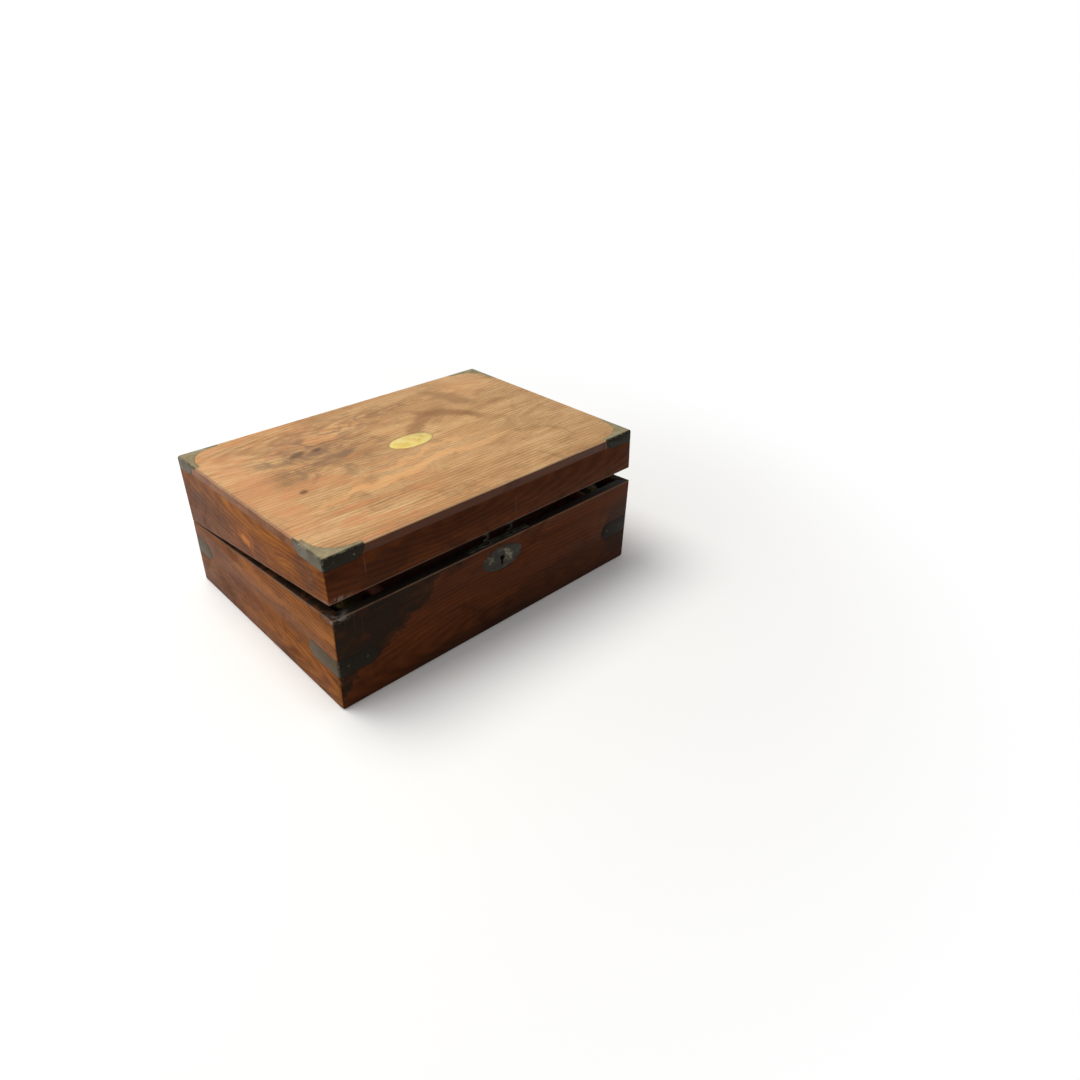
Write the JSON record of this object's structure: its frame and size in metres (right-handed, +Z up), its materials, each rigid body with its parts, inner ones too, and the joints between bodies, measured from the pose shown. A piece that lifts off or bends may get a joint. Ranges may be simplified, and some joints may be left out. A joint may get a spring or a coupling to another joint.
{
  "type": "writing slope",
  "caption": "Brass-bound walnut writing slope: a locking box that opens flat into a sloping leather desk over paper wells, pen tray and ink wells.",
  "frame": {"origin": "middle of the underside, on the table", "axes": "+X along the length, +Y from the lock side to the hinge side, +Z up"},
  "size_m": [0.35, 0.2537, 0.1508],
  "materials": {
    "walnut": "satin, worn polish",
    "mahogany": "matt",
    "old_brass": "tarnished",
    "bright_brass": "polished",
    "steel": "dull",
    "leather": "worn",
    "ink_glass": "gloss"
  },
  "bodies": {
    "base": {"base_back_board": "walnut", "base_bottom_board": "mahogany", "base_flap_bearer_left": "mahogany", "base_flap_bearer_right": "mahogany", "base_flap_fixed_leaf_left": "old_brass", "base_flap_fixed_leaf_right": "old_brass", "base_flap_rail": "mahogany", "base_front_board": "walnut", "base_left_board": "walnut", "base_partition": "mahogany", "base_right_board": "walnut", "base_strap_back_left": "old_brass", "base_strap_back_right": "old_brass", "base_strap_front_left": "old_brass", "base_strap_front_right": "old_brass", "escutcheon": "old_brass", "hinge_base_leaf_left": "old_brass", "hinge_base_leaf_right": "old_brass", "hinge_pin_left": "old_brass", "hinge_pin_right": "old_brass", "ink_bottle_left": "ink_glass", "ink_bottle_right": "ink_glass", "ink_cap_left": "old_brass", "ink_cap_right": "old_brass", "ink_divider_left": "mahogany", "ink_divider_right": "mahogany", "ink_floor_left": "mahogany", "ink_floor_right": "mahogany", "lock_case": "old_brass", "lock_plate": "old_brass", "pen_tray": "mahogany"},
    "lid": {"hinge_lid_leaf_left": "old_brass", "hinge_lid_leaf_right": "old_brass", "lid_back_board": "walnut", "lid_corner_back_left": "old_brass", "lid_corner_back_right": "old_brass", "lid_corner_front_left": "old_brass", "lid_corner_front_right": "old_brass", "lid_flap_bearer_left": "mahogany", "lid_flap_bearer_right": "mahogany", "lid_flap_fixed_leaf_left": "old_brass", "lid_flap_fixed_leaf_right": "old_brass", "lid_flap_rail": "mahogany", "lid_front_board": "walnut", "lid_left_board": "walnut", "lid_oval_plate": "bright_brass", "lid_right_board": "walnut", "lid_top_board": "walnut", "link_plate": "old_brass"},
    "base_flap": {"base_flap_board": "mahogany", "base_flap_leather": "leather", "base_flap_moving_leaf_left": "old_brass", "base_flap_moving_leaf_right": "old_brass"},
    "lid_flap": {"lid_flap_board": "mahogany", "lid_flap_leather": "leather", "lid_flap_moving_leaf_left": "old_brass", "lid_flap_moving_leaf_right": "old_brass"},
    "bolt": {"lock_bolt": "steel"}
  },
  "joints": [
    {"name": "lid_hinge", "type": "hinge", "parent": "base", "child": "lid", "pos_m": [0, 0.1253, 0.0685], "axis": [-1, 0, 0], "range_deg": [-3.2, 176.8]},
    {"name": "lock_bolt_slide", "type": "slide", "parent": "base", "child": "bolt", "axis": [1, 0, 0], "range_m": [0, 0.0045]},
    {"name": "base_flap_hinge", "type": "hinge", "parent": "base", "child": "base_flap", "pos_m": [0, 0.10342, 0.06918], "axis": [-1, 0, 0], "range_deg": [-1.28, 70.72]},
    {"name": "lid_flap_hinge", "type": "hinge", "parent": "lid", "child": "lid_flap", "pos_m": [0, 0.10367, 0.07361], "axis": [1, 0, 0], "range_deg": [-1.28, 70.72]}
  ],
  "couplings": [
    {"joint": "base_flap_hinge", "follows": "lid_hinge", "ratio": 0.4},
    {"joint": "lid_flap_hinge", "follows": "lid_hinge", "ratio": 0.4}
  ]
}
